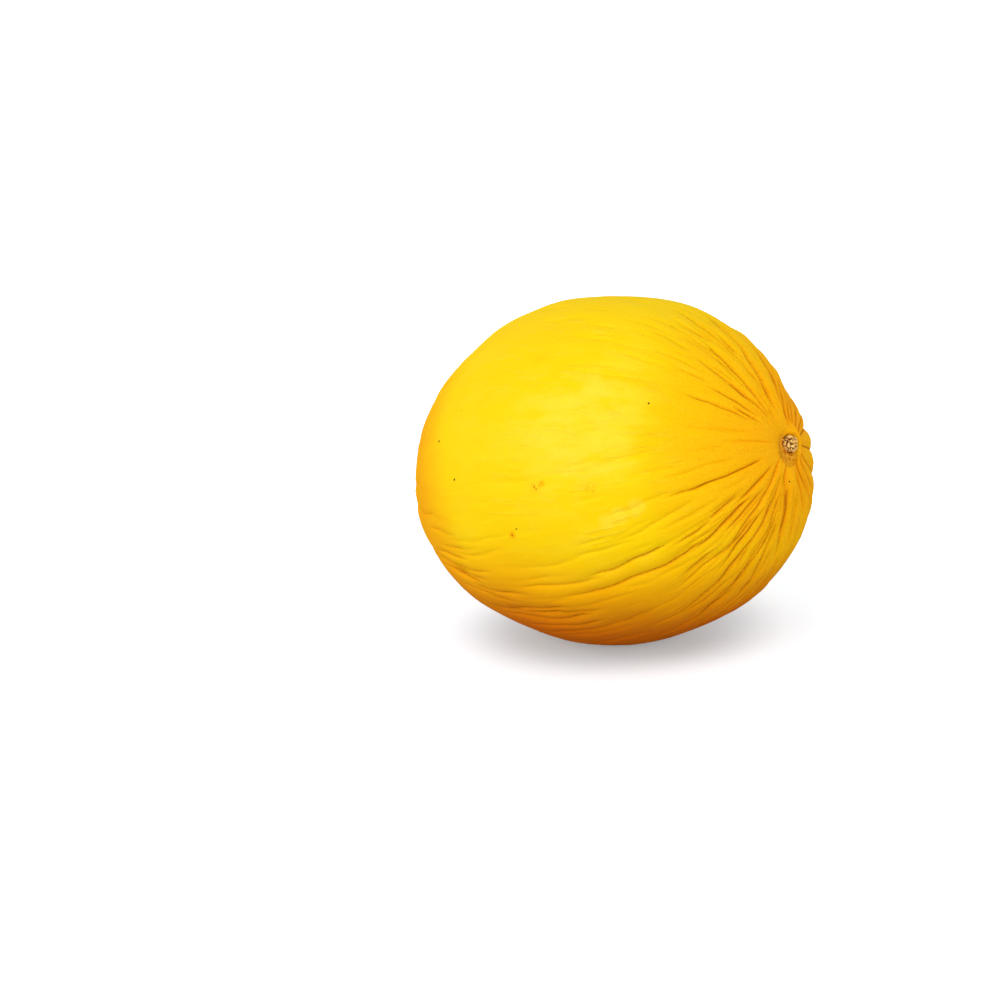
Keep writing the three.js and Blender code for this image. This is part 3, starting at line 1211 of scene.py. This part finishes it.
    def mark(self, graph: Graph, place: Value, spot: Vector, blemish: Blemish,
             base: Value) -> Value:
        """Adds one blemish to the colour.

        Args:
            graph: The material's graph.
            place: The place on the surface.
            spot: The middle of the blemish.
            blemish: What it is.
            base: The colour so far.

        Returns:
            The colour with the blemish.
        """
        away, radius, strength = graph.reach(place, spot), blemish.radius, blemish.strength
        if blemish.kind is BlemishKind.SPECK:
            return graph.blend(graph.fade(away, radius * 0.5, radius * 1.2), base, self.speck)
        soft = graph.fade(away, radius * 0.8, radius * 2.4) * strength
        if blemish.kind is BlemishKind.SCUFF:
            dots = self.dots(graph, place, 1000.0, rim=(0.3, 0.6), empty=0.35)
            dots = dots * graph.fade(away, radius * 0.8, radius * 1.3) * 0.95
            return graph.layers(base, (soft * 0.2, self.orange), (dots * strength, self.stain))
        ragged = graph.ragged(place, spot, radius * 2.2, 900.0)
        sharp = graph.fade(ragged, radius * 0.2, radius * 0.8) * 0.85
        return graph.layers(base, (soft * 0.65, self.orange), (sharp * strength, self.stain))

    def build(self, skin: MelonSkin) -> None:
        """Fills in the rind's material, with the marks at their places on the finished skin.

        Args:
            skin: The finished skin.
        """
        _, graph, shader = plain_material("melon_rind")
        cover = self.cover
        place = graph.value("ShaderNodeTexCoord", output="Object")
        height = graph.split(place)[2]
        clouds, pores = graph.noise(place, 17.0, 3.0), graph.noise(place, 900.0, 3.0, 0.7)
        ripples = self.ripples(graph, height)
        lobes = graph.fade(graph.reach(place, skin.spot(*self.lobe_spot)), *self.lobe_edge)
        # painted highlight: pale streaks beside a furrow with ragged edges
        painted_shine = graph.least(*(graph.reach(place, skin.spot(*spot)) for spot in self.painted_shine_spots))
        painted_shine = graph.fade(painted_shine + (graph.noise(place, 260.0) - 0.5) * 4.0, *self.painted_shine_edge)
        # painted shade in the furrows' broad valleys, less on the lobes
        valley_shade_and_grain = graph.smooth(graph.carried(Mark.FURROW), *self.valley_shade_depth)
        valley_shade_and_grain = valley_shade_and_grain * (1.0 - lobes * 0.8)
        # painted shade along the crease lines, broken up by the pores; deeper low down
        crease = graph.smooth(graph.carried(Mark.CREASE) * ((pores - 0.5) * 2.4 + 1.0), 0.05, 1.1)
        shaded = graph.fade(height, *self.shaded_height)
        base = graph.layers(
            self.colour(graph, place, clouds, skin.spot(*self.painted_highlight_spot)),
            # painted highlight on the ripples
            (ripples * cover.ripple_highlight, self.pale), (lobes * cover.lobe, self.golden),
            # painted highlight in the streaks beside a furrow, and painted shade in the furrows'
            # broad valleys
            (painted_shine * cover.painted_shine, self.pale), (valley_shade_and_grain * cover.valley_shade_and_grain, self.valley_shade_and_grain),
            # painted shade in the crease lines
            (crease * cover.crease, graph.blend(shaded, self.crease, self.deep_crease_shade)),
            (self.dots(graph, place, 170.0, rim=(0.04, 0.09), empty=0.9) * cover.dot, self.stain))
        for blemish in self.blemishes:
            spot = skin.spot(blemish.from_stem, blemish.around)
            base = self.mark(graph, place, spot, blemish, base)
        tone, grain = cork_grain(graph, self.grain_size)
        away = graph.ragged(place, skin.spot(*self.halo_spot), 10.0, 800.0, 3.0, 0.75)
        halo = graph.fade(away, *self.halo_edge)
        away = graph.ragged(place, skin.spot(*self.scar_spot), 2.4, 900.0, 3.0, 0.7)
        ring = graph.bell(away - self.ring_radius, self.ring_width)
        scar = graph.most(ring, graph.fade(away, *self.scar_point))
        granular = graph.fade(graph.carried(Mark.FROM_STEM), *self.granular)
        base = graph.layers(
            base, (halo * cover.halo, graph.blend(tone * 0.9, self.halo, self.flecks)),
            # painted shade inside the socket round the stub
            (graph.carried(Mark.SOCKET) * cover.socket, self.socket),
            (scar * cover.scar, graph.blend(tone, self.halo, self.flecks)),
            # the pores' grain, in the colour of the valleys' painted shade
            (graph.smooth(pores, 0.5, 0.62) * (granular * cover.granule + cover.pore), self.valley_shade_and_grain))
        grazing = graph.value("ShaderNodeLayerWeight", {"Blend": 0.5}, "Facing")
        rough = (clouds - 0.5) * 0.1 + crease * 0.2 + halo * 0.3
        rough = rough + grazing * grazing * self.grazing_roughness + self.roughness
        relief = pores * (granular * self.granule_height + self.pore_height)
        relief = relief + ripples * self.ripple_height + halo * grain * self.grain_height
        graph.feed(shader, {
            "Base Color": base, "Roughness": rough, "Normal": graph.bump(relief),
            "Specular IOR Level": 0.05, "Subsurface Weight": 0.1,
            "Subsurface Radius": (1.0, 0.4, 0.05), "Subsurface Scale": 0.003})


@dataclass(frozen=True)
class CorkFinish:
    """Dry corky stem tissue: light tan lumps, with red-brown painted shade in the crevices, the
    pits and at the foot.
    """

    light: Colour = linear(255, 226, 138)
    tan: Colour = linear(253, 188, 88)
    # painted shade in the crevices, pits and foot
    dark: Colour = linear(118, 22, 0)
    grain_size: float = 0.0005
    grain_height: float = 0.00012
    roughness: float = 0.85

    def build(self) -> Material:
        """Makes the material.

        Returns:
            The material.
        """
        material, graph, shader = plain_material("stem_cork")
        speckle, height = cork_grain(graph, self.grain_size)
        tone = graph.carried(Mark.TONE) * 0.5 + speckle * 0.5
        # painted shade in the crevices, pits and foot over the lumps' random tones
        base = graph.layers(self.tan, (tone, self.light), (graph.carried(Mark.CREVICE_SHADE), self.dark))
        graph.feed(shader, {
            "Base Color": base, "Roughness": self.roughness, "Specular IOR Level": 0.02,
            "Normal": graph.bump(height * self.grain_height)})
        return material


# ---- the stem stub ----


@dataclass
class StemStub:
    """The dry broken stub of the stem: a squat knob of corky lumps sunk in its socket.

    Sizes are millimetres, and the pits' span a share of their noise, the foot's of the height.
    """

    radius: float = 3.55
    height: float = 5.8
    lump_size: float = 2.1
    lump_shift: float = 3.2
    crevice_width: float = 0.34
    crevice_depth: float = 1.1
    pit_depth: float = 0.8
    pits: Span = (0.16, 0.24)
    dark_foot: Span = (0.2, 0.4)
    raggedness: float = 0.8
    squareness: float = 0.3
    bluntness: float = 0.75
    aside: float = 0.3
    sunk: float = 1.2
    segments: int = 170
    rings: int = 110

    def sizes(self) -> dict[str, float]:
        """The sizes that the tree takes, by its inputs' names."""
        return {"Radius": self.radius, "Height": self.height, "Lump size": self.lump_size,
                "Crevice width": self.crevice_width}

    def knob(self, graph: Graph, way: Value, radius: Value, height: Value) -> Value:
        """A rounded squat plug that stands along +Z.

        Args:
            graph: The stub's tree.
            way: A point of a ball.
            radius: The plug's radius.
            height: Its height.

        Returns:
            The point of the plug.
        """
        x, y, z = graph.split(way)
        boxy = graph.most(graph.hypotenuse(x, y), 0.0001) ** -self.squareness * radius
        up = graph.math("SIGN", z) * graph.math("ABSOLUTE", z) ** self.bluntness
        return graph.vector(x * boxy, y * boxy, (up + 1.0) * height * 0.5)

    def tree(self, finish: Material) -> Tree:
        """Builds the tree: the knob split into lumps by deep crevices, storing the painted shade of
        the crevices, pits and foot.

        Args:
            finish: The cork's material.

        Returns:
            The tree.
        """
        takes = {"Start": "Geometry", **dict.fromkeys(self.sizes(), "Float")}
        graph = new_tree("Stem stub", "Geometry", takes, {"Stub": "Geometry"})
        given = graph.given()
        counts = {"Segments": self.segments, "Rings": self.rings, "Radius": 1.0}
        ball = graph.node("GeometryNodeMeshUVSphere", counts).outputs["Mesh"]
        way = graph.value("GeometryNodeInputPosition")
        plug = self.knob(graph, way, given["Radius"], given["Height"])
        knobs = {"Vector": plug, "Scale": 0.5, "Detail": 2.0}
        cloud = graph.value("ShaderNodeTexNoise", knobs, "Color")
        shaken = graph.vectors("ADD", plug, graph.scale(cloud, self.lump_shift))
        across = graph.math("DIVIDE", 1.0, given["Lump size"])
        gap = graph.cells(shaken, across, "DISTANCE_TO_EDGE") * given["Lump size"]
        tone = graph.split(graph.cells(shaken, across, output="Color"))[0]
        crevice = graph.fade(gap, given["Crevice width"] * 0.25, given["Crevice width"])
        pit = graph.fade(graph.noise(plug, 1.1, 1.0), *self.pits) * self.pit_depth
        rough = (graph.noise(plug, 1.3, 3.0, 0.6) - 0.5) * self.raggedness
        lift = tone - 0.5 + rough - graph.most(crevice * self.crevice_depth, pit)
        # painted shade at the foot, in the crevices and in the pits
        low = graph.fade(graph.split(plug)[2] / given["Height"], *self.dark_foot)
        dark = graph.most(crevice, low, pit)
        shape = graph.store(graph.store(ball, Mark.CREVICE_SHADE, dark), Mark.TONE, tone)
        lumpy = graph.vectors("ADD", plug, graph.scale(way, lift))
        return graph.finish_shape(shape, lumpy, finish, "Stub")

    def build(self, finish: Material, skin: MelonSkin) -> Thing:
        """Makes the stub and stands it in the skin's socket, square to the socket's rim.

        Args:
            finish: The cork's material.
            skin: The finished skin.

        Returns:
            The stub.
        """
        thing = add_thing("stem_stub_cork", bpy.data.meshes.new("stem_stub_cork"))
        run_tree(thing, self.tree(finish), self.sizes())
        lean, pitch = math.radians(skin.scar_tilt), math.radians(skin.pitch)
        axis = Vector((math.cos(lean), -math.sin(lean), 0.0))
        axis.rotate(Matrix.Rotation(-pitch, 3, "Y"))
        foot = skin.spot(0.0, 0.0) - axis * self.sunk * MM + Vector((0.0, self.aside * MM, 0.0))
        turn = axis.to_track_quat("Z", "Y").to_matrix().to_4x4()
        thing.data.transform(Matrix.Translation(foot) @ turn)
        return thing


# ---- the studio ----


def seen_directly(graph: Graph) -> Value:
    """1 for rays that show a surface, straight or mirrored, and 0 for rays of light."""
    rays, names = graph.node("ShaderNodeLightPath").outputs, ("Camera", "Glossy", "Transmission")
    return graph.most(*(Value(graph, rays[f"Is {name} Ray"]) for name in names))


@dataclass(frozen=True)
class Lamp:
    """A square soft lamp aimed at the fruit: its place as the camera sees it, in metres."""

    name: str
    across: float
    over: float
    before: float
    size: float
    power: float


@dataclass
class Studio:
    """Floor, lamps, surroundings and camera, all placed around the fruit as the camera sees it."""

    focus: Vector
    azimuth: float = 31.65
    elevation: float = 15.0
    roll: float = -4.0
    distance: float = 1.1
    lens: float = 86.06
    aside: float = 0.05
    below: float = 0.0137
    white: Colour = (1.0, 1.0, 1.0, 1.0)
    ambient: float = 0.68
    floor_size: float = 24.0
    floor_colour: Colour = (0.5, 0.5, 0.51, 1.0)
    shadow_tint: Colour = (0.65, 0.82, 0.90, 1.0)
    outer_tint: Colour = (0.68, 0.77, 0.85, 1.0)
    shadow_behind: float = 0.014
    shadow_rim: Span = (45.0, 85.0)
    outer_rim: Span = (110.0, 300.0)
    glow: tuple[float, float, float] = (0.25, 0.24, 0.5)
    lamps: tuple[Lamp, ...] = (
        Lamp("key", -0.3, 1.15, 0.85, 0.7, 2.2), Lamp("front", 0.0, 0.25, 1.3, 0.8, 3.5),
        Lamp("left", -1.2, 0.3, 0.5, 1.0, 6.3), Lamp("right", 1.0, 0.15, 0.9, 1.0, 4.9),
        Lamp("back", 0.0, 0.12, -1.3, 1.0, 4.4),
    )

    def axes(self) -> tuple[Vector, Vector, Vector, Vector]:
        """The directions of the camera.

        Returns:
            Right, up and forward before its roll, and forward laid level.
        """
        turn, lift = math.radians(self.azimuth), math.radians(self.elevation)
        level = Vector((-math.sin(turn), math.cos(turn), 0.0))
        right = Vector((math.cos(turn), math.sin(turn), 0.0))
        forward = level * math.cos(lift) - Vector((0.0, 0.0, math.sin(lift)))
        return right, right.cross(forward), forward, level

    def camera(self) -> None:
        """Adds the camera."""
        right, up, forward, _ = self.axes()
        turn = math.radians(self.roll)
        sideways = right * math.cos(turn) + up * math.sin(turn)
        tall = up * math.cos(turn) - right * math.sin(turn)
        data = bpy.data.cameras.new("camera")
        data.lens = self.lens
        data.clip_end = 100.0
        camera = add_thing("camera", data)
        place = self.focus - sideways * self.aside - tall * self.below - forward * self.distance
        turned = Matrix((sideways, tall, -forward)).transposed().to_4x4()
        camera.matrix_world = Matrix.Translation(place) @ turned
        bpy.context.scene.camera = camera

    def light(self, lamp: Lamp) -> None:
        """Adds a lamp.

        Args:
            lamp: Its place, size and power.
        """
        right, _, _, level = self.axes()
        data = bpy.data.lights.new(lamp.name, "AREA")
        data.size, data.energy = lamp.size, lamp.power
        offset = right * lamp.across + Vector((0.0, 0.0, lamp.over)) - level * lamp.before
        turned = offset.to_track_quat("Z", "Y").to_matrix().to_4x4()
        add_thing(lamp.name, data).matrix_world = Matrix.Translation(self.focus + offset) @ turned

    def floor(self) -> None:
        """Adds the floor: it keeps the shadow, and shows white to the camera."""
        material, graph, shader = plain_material("floor")
        seen = seen_directly(graph)
        behind = self.axes()[3] * self.shadow_behind
        away = graph.reach(graph.value("ShaderNodeTexCoord", output="Object"), behind)
        near, far = graph.smooth(away, *self.shadow_rim), graph.smooth(away, *self.outer_rim)
        tint = graph.blend(near, self.shadow_tint, self.outer_tint)
        colour = graph.blend(seen, self.floor_colour, tint)
        graph.feed(shader, {"Base Color": colour, "Roughness": 1.0, "Specular IOR Level": 0.0})
        inner, rim, outer = self.glow
        strength = seen * (near * rim + far * outer + inner)
        glow = graph.node("ShaderNodeEmission", {"Color": self.white, "Strength": strength})
        both = graph.node("ShaderNodeAddShader", {0: shader.outputs[0], 1: glow.outputs[0]})
        graph.feed(material.node_tree.nodes["Material Output"], {"Surface": both.outputs[0]})
        bpy.ops.mesh.primitive_plane_add(size=self.floor_size)
        floor = bpy.context.object
        floor.name = "floor"
        floor.data.materials.append(material)

    def surroundings(self) -> None:
        """Lights the fruit evenly from all round, and shows white behind the floor."""
        world = bpy.data.worlds.new("world")
        world.use_nodes = True
        graph = Graph(world.node_tree)
        seen = graph.math("MINIMUM", seen_directly(graph), 1.0)
        strength = seen * (1.0 - self.ambient) + self.ambient
        graph.feed(world.node_tree.nodes["Background"], {"Color": self.white, "Strength": strength})
        bpy.context.scene.world = world

    def build(self) -> None:
        """Adds everything."""
        self.camera()
        self.floor()
        self.surroundings()
        for lamp in self.lamps:
            self.light(lamp)
        bpy.context.scene.view_settings.view_transform = "Standard"


# ---- assembly ----


def place(piece: Thing, node: str, slot: str) -> None:
    """Fastens a finished piece to the frame in place of a CAD node, and reports it.

    Args:
        piece: The piece.
        node: The CAD node.
        slot: Not used.
    """
    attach(piece, BODY)
    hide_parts(node)
    LOG.info("%s: %d vertices, in place of %s", piece.name, len(piece.data.vertices), node)


def main() -> None:
    """Builds the fruit, its stub and the studio."""
    logging.basicConfig(level=logging.INFO, format="%(name)s: %(message)s")
    low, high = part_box("melon")
    melon = MelonSkin(radius=(high.y - low.y) / 2 / MM)
    skin = melon.build(plain_material("melon_rind")[0])
    RindFinish().build(melon)
    place(skin, "melon", "rind")
    place(StemStub().build(CorkFinish().build(), melon), "stem_stub", "dry_stem")
    Studio(focus=melon.centre).build()


if __name__ == "__main__":
    main()
